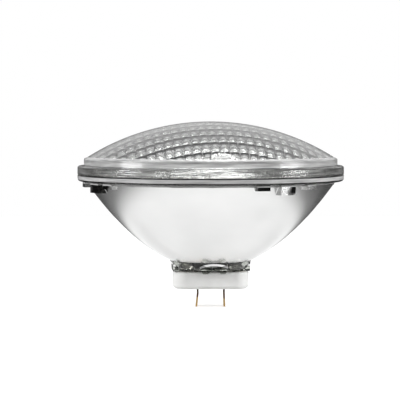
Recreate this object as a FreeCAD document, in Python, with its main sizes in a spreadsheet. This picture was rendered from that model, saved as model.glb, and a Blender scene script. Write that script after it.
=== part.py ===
# Par spotlight bulb: a pressed glass lens and reflector fused at the rim, a filament mount
# between them, and a white ceramic cup with two flat contact prongs.
# Frame: origin at the middle of the ceramic's flat underside, +Z towards the lens, X across
# the two prongs. Millimetres and degrees.

import FreeCAD, Part
import Sketcher
import math
import os
import re
from FreeCAD import Placement, Rotation, Vector

SIZES = [
    ("rim_radius", "88.9", "outside of the rim, half of seven inches"),
    ("rim_top", "82.4", "flat front of the rim"),
    ("rim_foot", "72.2", "lowest edge of the rim"),
    ("rim_top_bevel", "1.0", "bevel on the rim's front edge"),
    ("rim_foot_bevel", "1.4", "bevel on the rim's back edge"),
    ("seam_height", "76.6", "where the lens is fused to the reflector"),
    ("seam_bevel", "0.45", "bevel of each lip at the seam"),
    ("dome_top", "111.7", "top of the lens"),
    ("dome_radius", "154.5", "sphere of the lens's face"),
    ("dome_edge", "83.4", "radius where the face ends"),
    ("shoulder_radius", "84.6", "radius of the step round the face"),
    ("shoulder_drop", "0.9", "depth of the round on the step's edge"),
    ("lens_wall", "4.0", "glass at the corners of the pillows"),
    ("pillow_width", "5.8", "pitch of the pillows across a row"),
    ("pillow_length", "11.7", "pitch of the rows"),
    ("pillow_rise", "0.9", "arch of each pillow"),
    ("row_step", "0.7", "step between rows"),
    ("window_reach", "77.0", "distance of the smooth window from the axis"),
    ("window_width", "15.0", "smooth window, along the edge"),
    ("window_depth", "9.0", "smooth window, towards the axis"),
    ("bowl_focal", "29.3", "focal length of the bowl's outside"),
    ("bowl_vertex", "12.6", "lowest point of the bowl's outside"),
    ("mirror_focal", "27.5", "focal length of the mirror"),
    ("mirror_vertex", "17.0", "lowest point of the mirror"),
    ("neck_radius", "82.9", "where the bowl meets the rim"),
    ("glass_turn", "5.0", "turn of the glass against the ceramic"),
    ("heel_inner", "20.0", "inside of the heel ring"),
    ("heel_tip_radius", "24.7", "outside of the heel ring at its lower edge"),
    ("heel_root_radius", "28.0", "outside of the heel ring at its root"),
    ("heel_root", "20.0", "root of the heel ring, inside the glass"),
    ("heel_foot", "13.9", "lower edge of the heel ring"),
    ("foot_count", "4", "feet round the heel"),
    ("foot_back", "21.6", "inner face of a foot from the axis"),
    ("foot_face", "25.9", "outer face of a foot from the axis"),
    ("foot_radius", "9.1", "radius of a foot's round side"),
    ("foot_centre", "17.3", "height of that radius's centre"),
    ("foot_top", "19.5", "top of a foot, inside the glass"),
    ("foot_bottom", "11.9", "underside of the feet"),
    ("notch_width", "8.6", "arched notch under a foot"),
    ("notch_rise", "2.2", "height of the notch"),
    ("lug_radius", "86.0", "outer face of the locating lugs"),
    ("lug_root", "2.6", "how far the lugs reach into the bowl's glass"),
    ("lug_top", "73.4", "top of the lugs, inside the rim"),
    ("small_lug_bottom", "68.7", "underside of the small lugs"),
    ("big_lug_bottom", "65.8", "underside of the big lugs"),
    ("small_lug_angle", "5.9", "width of a small lug"),
    ("big_lug_angle", "7.7", "width of a big lug"),
    ("lug_repeats", "2", "the row of lugs, repeated round the rim"),
    ("ferrule_offset", "12.5", "ferrules from the axis"),
    ("ferrule_radius", "4.0", "ferrule and its hole in the heel"),
    ("ferrule_wall", "0.5", "wall of a ferrule"),
    ("ferrule_top", "18.6", "open end of a ferrule"),
    ("ferrule_bottom", "9.0", "closed end of a ferrule"),
    ("exhaust_radius", "3.2", "exhaust tube and its hole"),
    ("exhaust_bore", "1.6", "inside of the exhaust tube"),
    ("exhaust_shoulder", "8.6", "where the exhaust tube closes in"),
    ("exhaust_tip", "5.4", "sealed tip of the exhaust tube"),
    ("exhaust_nib", "1.1", "radius of that tip"),
    ("post_radius", "1.0", "lead post"),
    ("post_bend_start", "29.0", "where a post starts to lean inwards"),
    ("post_bend_radius", "8.0", "radius of both bends in a post"),
    ("post_top_offset", "8.2", "top of a post from the axis"),
    ("filament_radius", "0.8", "outside of the filament's coil"),
    ("leg_spacing", "4.0", "distance between the filament's legs"),
    ("filament_rise", "8.0", "height of the filament's zigzag"),
    ("clamp_length", "6.2", "clamp, across the post and the filament"),
    ("clamp_width", "3.4", "clamp, front to back"),
    ("clamp_reach", "2.6", "height of a clamp"),
    ("bead_radius", "2.3", "glass bar between the posts"),
    ("bead_overhang", "2.4", "bar beyond the posts' middles"),
    ("bead_height", "24.0", "middle of the glass bar"),
    ("bead_bevel", "0.8", "bevel on the bar's ends"),
    ("hook_radius", "0.3", "support wire"),
    ("hook_clearance", "0.08", "between a hook and the filament"),
    ("hook_wrap", "290", "turn of a hook round the filament"),
    ("base_length", "51.3", "ceramic, along the line of the prongs"),
    ("base_depth", "22.0", "ceramic, front to back"),
    ("base_height", "11.5", "ceramic, top to bottom"),
    ("base_corner", "9.0", "upright corners of the ceramic"),
    ("base_foot_bevel", "1.8", "bevel under the ceramic"),
    ("base_lip_bevel", "0.6", "bevel on the ceramic's top edge"),
    ("base_wall", "2.8", "wall of the ceramic cup"),
    ("base_floor", "3.0", "floor of the ceramic cup"),
    ("prong_offset", "8.95", "middle of each prong from the axis"),
    ("prong_thickness", "1.2", "brass sheet of the prongs"),
    ("prong_width", "12.0", "prong, front to back"),
    ("prong_reach", "12.3", "prong below the ceramic"),
    ("prong_foot_end", "17.2", "outer end of a prong's foot"),
    ("prong_kink", "3.0", "depth below the ceramic where a prong bends"),
    ("prong_tip_round", "2.4", "rounded corners of a prong's tip"),
    ("left_kink_shift", "-0.35", "left prong's shift outwards at its kink"),
    ("left_tip_shift", "0.6", "left prong's shift outwards at its tip"),
    ("right_kink_shift", "0.0", "right prong's shift outwards at its kink"),
    ("right_tip_shift", "0.3", "right prong's shift outwards at its tip"),
    ("slot_clearance", "0.4", "between a prong and its slot, each side"),
    ("strap_thickness", "0.4", "connecting strip"),
    ("strap_width", "4.0", "connecting strip, front to back"),
    ("strap_inner", "10.4", "inner end of a strip from the axis"),
    ("strap_outer", "18.6", "outer bend of a strip from the axis"),
    ("strap_bend", "1.2", "outside radius of a strip's bends"),
    ("rivet_offset", "13.6", "rivets from the axis"),
    ("rivet_radius", "1.2", "rivet shank and its holes"),
    ("rivet_head_radius", "2.2", "rivet heads"),
    ("rivet_head_height", "0.9", "rivet heads"),
    ("rivet_sink_radius", "2.7", "countersink under the ceramic"),
    ("rivet_sink_depth", "1.3", "countersink under the ceramic"),
    ("cement_inset", "1.3", "cement back from the ceramic's outer edge"),
    ("cement_reach", "7.0", "length of a cement bead along X"),
]

# Locating lugs: angle from the bulb's front in the glass's own frame, and whether it is big.
LUGS = [(17.0, False), (29.0, True), (42.5, False), (-55.0, False), (-66.0, True), (-81.0, False)]
WINDOW_ANGLE = 0.0
FRONT = -90.0

# Straight runs in a curved outline, and flats round a wire and across the arch of a pillow.
# They are few, to keep the triangles few.
CURVE_RUNS = 6
POST_FLATS = 12
FILAMENT_FLATS = 8
HOOK_FLATS = 6
PILLOW_FLATS = 3

# Heights of the filament about the mirror's focus, and where each support wire stands.
FOCUS = "(mirror_vertex + mirror_focal)"
CLAMP_BOTTOM = f"({FOCUS} - filament_rise / 2)"
CLAMP_TOP = f"({CLAMP_BOTTOM} + clamp_reach)"
BEND_HEIGHT = f"({FOCUS} + filament_rise / 2 - leg_spacing / 2)"
LOW_BEND_HEIGHT = f"({FOCUS} - filament_rise / 2 + leg_spacing / 2)"
HOOK_CURL = "(filament_radius + hook_radius + hook_clearance)"
HOOKS = {
    "left_hook": ("-leg_spacing", f"({BEND_HEIGHT} + leg_spacing / 2)"),
    "centre_hook": ("0", f"({LOW_BEND_HEIGHT} - leg_spacing / 2)"),
    "right_hook": ("leg_spacing", f"({BEND_HEIGHT} + leg_spacing / 2)"),
}

doc = FreeCAD.newDocument("ParSpotlightBulb")
sheet = doc.addObject("Spreadsheet::Sheet", "Sizes")
for row, (alias, size, note) in enumerate(SIZES, start=1):
    sheet.set(f"A{row}", note)
    sheet.set(f"B{row}", size)
    sheet.setAlias(f"B{row}", alias)
doc.recompute()
ALIASES = {alias for alias, size, note in SIZES}
parts = {}


def on_sheet(text):
    """The expression text, with the sheet's name before each size."""
    return re.sub(r"[a-z]\w*", lambda m: f"Sizes.{m[0]}" if m[0] in ALIASES else m[0], text)


def number(text):
    """What an expression of sizes comes to now."""
    return float(sheet.evalExpression(on_sheet(text)))


def bind(thing, path, text):
    thing.setExpression(path, on_sheet(text))


def body(label):
    made = doc.addObject("PartDesign::Body", label)
    made.Label = label
    parts[label] = made
    return made


def sketch_on(owner, role, name, offset=None):
    """An empty sketch on one of the body's own planes, raised along its normal by offset."""
    sketch = owner.newObject("Sketcher::SketchObject", name)
    plane = next(f for f in owner.Origin.OriginFeatures if f.Role == role)
    sketch.AttachmentSupport = [(plane, "")]
    sketch.MapMode = "FlatFace"
    if offset:
        bind(sketch, "AttachmentOffset.Base.z", offset)
    return sketch


def pin_point(sketch, edge, end, x_text, y_text):
    """Holds a point of an edge at a place given by two expressions."""
    for kind, axis, text in (("DistanceX", -2, x_text), ("DistanceY", -1, y_text)):
        if text == "0":
            sketch.addConstraint(Sketcher.Constraint("PointOnObject", edge, end, axis))
        else:
            rule = Sketcher.Constraint(kind, -1, 1, edge, end, number(text))
            bind(sketch, f"Constraints[{sketch.addConstraint(rule)}]", text)


def arc_between(start, stop, radius, side):
    """A circular arc; side is 1 with its centre left of the way from start to stop, or -1."""
    chord = stop - start
    middle = (start + stop) * 0.5
    height = math.sqrt(max(radius**2 - chord.Length**2 / 4, 0.0))
    across = Vector(-chord.y, chord.x, 0).normalize()
    centre = middle + across * height * side
    first, last = (start, stop) if side > 0 else (stop, start)
    angles = [math.atan2(p.y - centre.y, p.x - centre.x) for p in (first, last)]
    if angles[1] < angles[0]:
        angles[1] += 2 * math.pi
    return Part.ArcOfCircle(Part.Circle(centre, Vector(0, 0, 1), radius), *angles)


def curve_corners(start, stop, height_at):
    """The corners between start and stop, two radii, of a curved stretch cut into equal runs.
    height_at gives the height at a radius."""
    radii = []
    for i in range(1, CURVE_RUNS):
        radii.append(f"({start}) + (({stop}) - ({start})) * {i} / {CURVE_RUNS}")
    return [(radius, height_at(radius)) for radius in radii]


def mirror_height(radius):
    return f"mirror_vertex + ({radius})^2 / (4 * mirror_focal)"


def bowl_height(radius):
    return f"bowl_vertex + ({radius})^2 / (4 * bowl_focal)"


def dome_height(radius):
    return f"dome_top - dome_radius + sqrt(dome_radius^2 - ({radius})^2)"


def draw(sketch, corners, closed=True):
    """Draws an outline. Each corner is (x, y) or (x, y, ("arc", radius, side)), where the third
    shapes the way to the next corner."""
    count = len(corners)
    places = [Vector(number(c[0]), number(c[1]), 0) for c in corners]
    ends = []
    for i in range(count if closed else count - 1):
        start = places[i]
        stop = places[(i + 1) % count]
        edge = corners[i][2] if len(corners[i]) > 2 else None
        starts_at, stops_at = 1, 2
        if edge is None:
            shape = Part.LineSegment(start, stop)
        else:
            shape = arc_between(start, stop, number(edge[1]), edge[2])
            if edge[2] < 0:
                starts_at, stops_at = 2, 1
        made = sketch.addGeometry(shape, False)
        if edge:
            rule = Sketcher.Constraint("Radius", made, number(edge[1]))
            bind(sketch, f"Constraints[{sketch.addConstraint(rule)}]", edge[1])
        ends.append((made, starts_at, stops_at))
    for i, (made, starts_at, stops_at) in enumerate(ends):
        pin_point(sketch, made, starts_at, corners[i][0], corners[i][1])
        if i + 1 < len(ends) or closed:
            after, after_start, after_stop = ends[(i + 1) % len(ends)]
            join = Sketcher.Constraint("Coincident", made, stops_at, after, after_start)
            sketch.addConstraint(join)
        else:
            pin_point(sketch, made, stops_at, corners[-1][0], corners[-1][1])


def circle(sketch, x_text, y_text, radius):
    shape = Part.Circle(Vector(number(x_text), number(y_text), 0), Vector(0, 0, 1), number(radius))
    made = sketch.addGeometry(shape, False)
    pin_point(sketch, made, 3, x_text, y_text)
    rule = Sketcher.Constraint("Radius", made, number(radius))
    bind(sketch, f"Constraints[{sketch.addConstraint(rule)}]", radius)


def wire_section(sketch, x_text, y_text, radius, flats):
    """A regular outline with so many flats, its corners on a circle."""
    corners = []
    for i in range(flats):
        angle = 360 * (i + 0.5) / flats
        corners.append((f"({x_text}) + {radius} * cos({angle})",
                        f"({y_text}) + {radius} * sin({angle})"))
    draw(sketch, corners)


def rounded_box(sketch, length, depth, corner):
    """A rectangle with round corners about the sketch's origin."""
    x_end, y_end = f"({length}) / 2", f"({depth}) / 2"
    x_run, y_run = f"{x_end} - ({corner})", f"{y_end} - ({corner})"
    turn = ("arc", corner, 1)
    draw(sketch, [
        (f"-({x_run})", f"-{y_end}"),
        (x_run, f"-{y_end}", turn),
        (x_end, f"-({y_run})"),
        (x_end, y_run, turn),
        (x_run, y_end),
        (f"-({x_run})", y_end, turn),
        (f"-{x_end}", y_run),
        (f"-{x_end}", f"-({y_run})", turn),
    ])


def box_outline(sketch, x_low, x_high, y_low, y_high):
    draw(sketch, [(x_low, y_low), (x_high, y_low), (x_high, y_high), (x_low, y_high)])


def revolve(owner, sketch, angle="360"):
    """A revolution of the sketch about its own upright axis, centred on its plane."""
    made = owner.newObject("PartDesign::Revolution", sketch.Name + "Turned")
    made.Profile = sketch
    made.ReferenceAxis = (sketch, ["V_Axis"])
    made.Midplane = angle != "360"
    bind(made, "Angle", angle)
    return made


def pad(owner, sketch, length, middle=False):
    made = owner.newObject("PartDesign::Pad", sketch.Name + "Pad")
    made.Profile = sketch
    made.Midplane = middle
    bind(made, "Length", length)
    return made


def pocket_through(owner, sketch):
    """A cut both ways from the sketch, through everything."""
    made = owner.newObject("PartDesign::Pocket", sketch.Name + "Cut")
    made.Profile = sketch
    made.Midplane = True
    made.Type = "ThroughAll"
    return made


def pocket(owner, sketch, length):
    """A cut down from the sketch."""
    made = owner.newObject("PartDesign::Pocket", sketch.Name + "Cut")
    made.Profile = sketch
    bind(made, "Length", length)
    return made


def polar(owner, name, originals, count):
    """Copies of features round the body's upright axis."""
    made = owner.newObject("PartDesign::PolarPattern", name)
    made.Originals = originals
    axis = next(f for f in owner.Origin.OriginFeatures if f.Role == "Z_Axis")
    made.Axis = (axis, [""])
    made.Angle = 360
    bind(made, "Occurrences", count)
    owner.Tip = made
    return made


def rod(owner, name, x_text, y_text, low, high, radius, flats):
    """An upright rod between two heights."""
    section = sketch_on(owner, "XY_Plane", name, low)
    wire_section(section, x_text, y_text, radius, flats)
    return pad(owner, section, f"{high} - {low}")


def bend(owner, name, place, radius, flats, axis, angle, down=False):
    """A wire bent about a level axis. place is the x, y and height of the upright end;
    axis is ("x", y) for an axis along X through y, or ("y", x) for one along Y through x."""
    x_text, y_text, height = place
    section = sketch_on(owner, "XY_Plane", name, height)
    wire_section(section, x_text, y_text, radius, flats)
    if axis[0] == "x":
        ends = ((f"-{radius}", axis[1]), (radius, axis[1]))
        rises = number(y_text) > number(axis[1])
    else:
        ends = ((axis[1], f"-{radius}"), (axis[1], radius))
        rises = number(x_text) < number(axis[1])
    line = [Vector(number(x), number(y), 0) for x, y in ends]
    made = section.addGeometry(Part.LineSegment(*line), True)
    for i, (x, y) in enumerate(ends, start=1):
        pin_point(section, made, i, x, y)
    turned = owner.newObject("PartDesign::Revolution", name + "Bend")
    turned.Profile = section
    turned.ReferenceAxis = (section, ["Axis0"])
    turned.Reversed = rises == down
    bind(turned, "Angle", angle)
    return turned


def edges_where(feature, test):
    """Names of the feature's edges that pass a test."""
    return [f"Edge{i + 1}" for i, e in enumerate(feature.Shape.Edges) if test(e)]


def dress(owner, kind, name, feature, test, size_name, size):
    """A fillet or chamfer on the edges of a feature that pass a test."""
    doc.recompute()
    made = owner.newObject(kind, name)
    made.Base = (feature, edges_where(feature, test))
    bind(made, size_name, size)
    return made


def turn_with_glass(thing):
    bind(thing, "Placement.Rotation.Angle", "glass_turn")


def make_lens():
    """A solid dome with its step and rim, less the hollow that shapes the pillows."""
    blank = doc.addObject("PartDesign::Body", "LensBlank")
    sketch = sketch_on(blank, "XZ_Plane", "LensOutline")
    edge_height = dome_height("dome_edge")
    draw(sketch, [
        ("0", "seam_height"),
        ("rim_radius - seam_bevel", "seam_height"),
        ("rim_radius", "seam_height + seam_bevel"),
        ("rim_radius", "rim_top - rim_top_bevel"),
        ("rim_radius - rim_top_bevel", "rim_top"),
        ("shoulder_radius", "rim_top"),
        ("shoulder_radius", f"{edge_height} - shoulder_drop"),
        ("dome_edge", edge_height),
        *curve_corners("dome_edge", "0", dome_height),
        ("0", "dome_top"),
    ])
    revolve(blank, sketch)
    hollow = doc.addObject("Part::Feature", "LensHollow")
    hollow.Shape = pillow_hollow()
    lens = doc.addObject("Part::Cut", "lens")
    lens.Label = "lens"
    lens.Base = blank
    lens.Tool = hollow
    turn_with_glass(lens)
    parts["lens"] = lens


def pillow_hollow():
    """The space under the lens. Its roof is rows of arched flutes, each row tilted so that it
    ends in a step, and one smooth window near the front edge."""
    seam = number("seam_height")
    inside = number("sqrt(4 * mirror_focal * (seam_height - mirror_vertex))")
    centre = number("dome_top - dome_radius")
    roof = number("dome_radius - lens_wall")
    width = number("pillow_width")
    length = number("pillow_length")
    rise = number("pillow_rise")
    step = number("row_step")
    columns = math.ceil(inside / width)
    rows = math.ceil(inside / length)

    def ceiling(x, y):
        return centre + math.sqrt(roof**2 - x**2 - y**2)

    solids = []
    for row in range(-rows, rows):
        inner, outer = sorted((row * length, (row + 1) * length), key=abs)
        run = Vector(0, outer - inner, ceiling(0, outer) - ceiling(0, inner) - step)
        lines = [column * width for column in range(-columns, columns + 1)]
        points = [Vector(x, inner, ceiling(x, inner)) for x in lines]
        corners = []
        for left, right in zip(points, points[1:]):
            for i in range(PILLOW_FLATS):
                share = i / PILLOW_FLATS
                arch = rise * (1 - (2 * share - 1)**2)
                corners.append(left + (right - left) * share + Vector(0, 0, arch))
        corners.append(points[-1])
        corners.append(Vector(lines[-1], inner, seam - length))
        corners.append(Vector(lines[0], inner, seam - length))
        section = Part.makePolygon(corners + corners[:1])
        solids.append(Part.Face(section).extrude(run))
    well = Part.makeCylinder(inside, number("dome_top") - seam, Vector(0, 0, seam))
    angle = math.radians(FRONT + WINDOW_ANGLE)
    window = smooth_window(angle, number("window_reach"), roof, centre, seam)
    patterned = [solid.common(well).cut(window) for solid in solids]
    smooth = Part.makeSphere(roof, Vector(0, 0, centre)).common(well).common(window)
    return patterned[0].fuse(patterned[1:] + [smooth])


def smooth_window(angle, reach, roof, centre, seam):
    """An upright elliptic prism over the smooth window."""
    across = number("window_width") / 2
    along = number("window_depth") / 2
    ellipse = Part.Ellipse(Vector(0, 0, 0), across, along)
    face = Part.Face(Part.Wire(ellipse.toShape()))
    place = Vector(math.cos(angle) * reach, math.sin(angle) * reach, seam)
    face.Placement = Placement(place, Rotation(Vector(0, 0, 1), math.degrees(angle) + 90))
    return face.extrude(Vector(0, 0, roof + centre - seam))


def make_reflector():
    """A paraboloid bowl with a thick rim, lugs, a heel ring on feet and holes for the mount."""
    bowl = body("reflector")
    inside = "sqrt(4 * mirror_focal * (seam_height - mirror_vertex))"
    outline = sketch_on(bowl, "XZ_Plane", "BowlOutline")
    draw(outline, [
        ("0", "mirror_vertex"),
        *curve_corners("0", inside, mirror_height),
        (inside, "seam_height"),
        ("rim_radius - seam_bevel", "seam_height"),
        ("rim_radius", "seam_height - seam_bevel"),
        ("rim_radius", "rim_foot + rim_foot_bevel"),
        ("rim_radius - rim_foot_bevel", "rim_foot"),
        ("neck_radius", bowl_height("neck_radius")),
        *curve_corners("neck_radius", "0", bowl_height),
        ("0", "bowl_vertex"),
    ])
    revolve(bowl, outline)
    add_lugs(bowl)
    ring = sketch_on(bowl, "XZ_Plane", "HeelOutline")
    draw(ring, [
        ("heel_inner", "heel_foot"),
        ("heel_tip_radius", "heel_foot"),
        ("heel_root_radius", "heel_root"),
        ("heel_inner", "heel_root"),
    ])
    revolve(bowl, ring)
    foot = sketch_on(bowl, "YZ_Plane", "FootOutline", "foot_back")
    bottom_half = "sqrt(foot_radius^2 - (foot_centre - foot_bottom)^2)"
    top_half = "sqrt(foot_radius^2 - (foot_top - foot_centre)^2)"
    notch = "(notch_width^2 / 4 + notch_rise^2) / (2 * notch_rise)"
    draw(foot, [
        (f"-{bottom_half}", "foot_bottom"),
        ("-notch_width / 2", "foot_bottom", ("arc", notch, -1)),
        ("notch_width / 2", "foot_bottom"),
        (bottom_half, "foot_bottom", ("arc", "foot_radius", 1)),
        (top_half, "foot_top"),
        (f"-{top_half}", "foot_top", ("arc", "foot_radius", 1)),
    ])
    foot_pad = pad(bowl, foot, "foot_face - foot_back")
    polar(bowl, "FootPattern", [foot_pad], "foot_count")
    holes = sketch_on(bowl, "XY_Plane", "HeelHoles")
    circle(holes, "ferrule_offset", "0", "ferrule_radius")
    circle(holes, "-ferrule_offset", "0", "ferrule_radius")
    circle(holes, "0", "0", "exhaust_radius")
    bowl.Tip = pocket_through(bowl, holes)
    turn_with_glass(bowl)


def add_lugs(bowl):
    """Blocks under the rim that locate the bulb in its holder, repeated on the far side."""
    made = []
    for i, (angle, big) in enumerate(LUGS):
        bottom = "big_lug_bottom" if big else "small_lug_bottom"
        width = "big_lug_angle" if big else "small_lug_angle"
        sketch = sketch_on(bowl, "XZ_Plane", f"Lug{i + 1}")
        sketch.AttachmentOffset = Placement(Vector(), Rotation(Vector(0, 1, 0), FRONT + angle))
        draw(sketch, [
            (f"sqrt(4 * bowl_focal * ({bottom} - bowl_vertex)) - lug_root", bottom),
            ("lug_radius", bottom),
            ("lug_radius", "lug_top"),
            ("sqrt(4 * bowl_focal * (lug_top - bowl_vertex)) - lug_root", "lug_top"),
        ])
        made.append(revolve(bowl, sketch, width))
    polar(bowl, "LugPattern", made, "lug_repeats")


def make_exhaust_tube():
    tube = body("exhaust_tube")
    sketch = sketch_on(tube, "XZ_Plane", "ExhaustOutline")
    draw(sketch, [
        ("exhaust_bore", "mirror_vertex"),
        ("exhaust_bore", "exhaust_shoulder"),
        ("0", "exhaust_shoulder - exhaust_bore"),
        ("0", "exhaust_tip"),
        ("exhaust_nib", "exhaust_tip"),
        ("exhaust_radius", "exhaust_shoulder"),
        ("exhaust_radius", "mirror_vertex"),
    ])
    revolve(tube, sketch)


def make_ferrule(label, side):
    """A thin metal cup, open upwards."""
    cup = body(label)
    sketch = sketch_on(cup, "XZ_Plane", label + "Outline")
    draw(sketch, [
        ("0", "ferrule_bottom"),
        ("ferrule_radius", "ferrule_bottom"),
        ("ferrule_radius", "ferrule_top"),
        ("ferrule_radius - ferrule_wall", "ferrule_top"),
        ("ferrule_radius - ferrule_wall", "ferrule_bottom + ferrule_wall"),
        ("0", "ferrule_bottom + ferrule_wall"),
    ])
    revolve(cup, sketch)
    bind(cup, "Placement.Base.x", f"{side} * ferrule_offset * cos(glass_turn)")
    bind(cup, "Placement.Base.y", f"{side} * ferrule_offset * sin(glass_turn)")


def make_post(label, side):
    """A stiff wire that stands in its ferrule and leans in to the filament's clamp."""
    post = body(label)
    swing = "acos(1 - (ferrule_offset - post_top_offset) / (2 * post_bend_radius))"
    lean_top = f"(post_bend_start + 2 * post_bend_radius * sin({swing}))"
    foot = "(ferrule_bottom + ferrule_wall)"
    out = "" if side > 0 else "-"
    low_x, top_x = f"{out}ferrule_offset", f"{out}post_top_offset"
    low_axis = f"{out}(ferrule_offset - post_bend_radius)"
    top_axis = f"{out}(post_top_offset + post_bend_radius)"
    wire = ("post_radius", POST_FLATS)
    rod(post, label + "Foot", low_x, "0", foot, "post_bend_start", *wire)
    bend(post, label + "Low", (low_x, "0", "post_bend_start"), *wire, ("y", low_axis), swing)
    bend(post, label + "High", (top_x, "0", lean_top), *wire, ("y", top_axis), swing, down=True)
    rod(post, label + "Top", top_x, "0", lean_top, CLAMP_TOP, *wire)
    turn_with_glass(post)


def make_filament():
    """The coil's outer form: four upright legs joined by round bends, at the focus."""
    coil = body("filament")
    wire = ("filament_radius", FILAMENT_FLATS)
    for i, low in enumerate((CLAMP_BOTTOM, LOW_BEND_HEIGHT, LOW_BEND_HEIGHT, CLAMP_BOTTOM)):
        leg = f"{i - 1.5} * leg_spacing"
        rod(coil, f"Leg{i + 1}", leg, "0", low, BEND_HEIGHT, *wire)
        if i < 3:
            below = i == 1
            height = LOW_BEND_HEIGHT if below else BEND_HEIGHT
            bend(coil, f"Turn{i + 1}", (leg, "0", height), *wire,
                 ("y", f"{i - 1} * leg_spacing"), "180", down=below)
    turn_with_glass(coil)


def make_clamp(label, side):
    """A crimped sleeve round a post's top and an end of the filament."""
    clamp = body(label)
    out = "" if side > 0 else "-"
    leg = f"{out}(1.5 * leg_spacing)"
    post = f"{out}post_top_offset"
    block = sketch_on(clamp, "XY_Plane", label + "Outline", CLAMP_BOTTOM)
    rounded_box(block, "clamp_length", "clamp_width", "clamp_width / 2 - 0.1")
    doc.recompute()
    bind(block, "AttachmentOffset.Base.x", f"{out}(1.5 * leg_spacing + post_top_offset) / 2")
    pad(clamp, block, "clamp_reach")
    holes = sketch_on(clamp, "XY_Plane", label + "Holes")
    circle(holes, leg, "0", "filament_radius")
    circle(holes, post, "0", "post_radius")
    clamp.Tip = pocket_through(clamp, holes)
    turn_with_glass(clamp)


def make_bridge():
    """A glass bar that ties the posts together and carries the support wires."""
    bar = body("bridge_bead")
    end = sketch_on(bar, "YZ_Plane", "BarEnd")
    circle(end, "0", "bead_height", "bead_radius")
    blank = pad(bar, end, "2 * (ferrule_offset + bead_overhang)", middle=True)
    dress(bar, "PartDesign::Chamfer", "BarBevels", blank, is_circle, "Size", "bead_bevel")
    holes = sketch_on(bar, "XY_Plane", "BarHoles")
    circle(holes, "ferrule_offset", "0", "post_radius")
    circle(holes, "-ferrule_offset", "0", "post_radius")
    pocket_through(bar, holes)
    wires = sketch_on(bar, "XY_Plane", "WireHoles", "bead_height + bead_radius")
    for place in HOOKS.values():
        circle(wires, place[0], HOOK_CURL, "hook_radius")
    bar.Tip = pocket(bar, wires, "bead_radius")
    turn_with_glass(bar)


def is_circle(edge):
    return isinstance(edge.Curve, Part.Circle)


def make_hook(label, x_text, height):
    """A wire that rises from the bar and curls round a bend of the filament."""
    hook = body(label)
    wire = ("hook_radius", HOOK_FLATS)
    rod(hook, label + "Wire", x_text, HOOK_CURL, "bead_height", height, *wire)
    bend(hook, label + "Curl", (x_text, HOOK_CURL, height), *wire, ("x", "0"), "hook_wrap")
    turn_with_glass(hook)


def make_base():
    """A ceramic cup with slots for the prongs and countersunk rivet holes in its floor."""
    cup = body("ceramic_base")
    outline = sketch_on(cup, "XY_Plane", "CupOutline")
    rounded_box(outline, "base_length", "base_depth", "base_corner")
    block = pad(cup, outline, "base_height")
    top = number("base_height")
    low = dress(cup, "PartDesign::Chamfer", "CupFootBevel", block,
                lambda e: all(abs(v.Z) < 1e-6 for v in e.Vertexes), "Size", "base_foot_bevel")
    dress(cup, "PartDesign::Chamfer", "CupLipBevel", low,
          lambda e: all(abs(v.Z - top) < 1e-6 for v in e.Vertexes), "Size", "base_lip_bevel")
    inside = sketch_on(cup, "XY_Plane", "CupInside", "base_height")
    cavity_outline(inside)
    pocket(cup, inside, "base_height - base_floor")
    openings = sketch_on(cup, "XY_Plane", "FloorOpenings")
    for out in ("", "-"):
        slot_half = "(prong_thickness / 2 + slot_clearance)"
        ends = [f"{out}prong_offset - {slot_half}", f"{out}prong_offset + {slot_half}"]
        width_half = "(prong_width / 2 + slot_clearance)"
        box_outline(openings, *ends, f"-{width_half}", width_half)
        circle(openings, f"{out}rivet_offset", "0", "rivet_radius")
    pocket_through(cup, openings)
    sinks = sketch_on(cup, "XY_Plane", "RivetSinks", "rivet_sink_depth")
    for out in ("", "-"):
        circle(sinks, f"{out}rivet_offset", "0", "rivet_sink_radius")
    cup.Tip = pocket(cup, sinks, "rivet_sink_depth")


def cavity_outline(sketch):
    length = "base_length - 2 * base_wall"
    depth = "base_depth - 2 * base_wall"
    rounded_box(sketch, length, depth, "base_corner - base_wall")


def make_cement(label, side):
    """A bead of cement on the ceramic's end wall, under a foot of the heel."""
    bead = body(label)
    top = sketch_on(bead, "XY_Plane", label + "Outline", "base_height")
    rounded_box(top, "base_length - 2 * cement_inset", "base_depth - 2 * cement_inset",
                "base_corner - cement_inset")
    pad(bead, top, "foot_bottom - base_height")
    inside = sketch_on(bead, "XY_Plane", label + "Inside")
    cavity_outline(inside)
    pocket_through(bead, inside)
    rest = sketch_on(bead, "XY_Plane", label + "Rest")
    out = "" if side > 0 else "-"
    other_side = "-base_length" if side > 0 else "base_length"
    near_edge = f"{out}(base_length / 2 - cement_reach)"
    box_outline(rest, other_side, near_edge, "-base_depth", "base_depth")
    bead.Tip = pocket_through(bead, rest)


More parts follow.
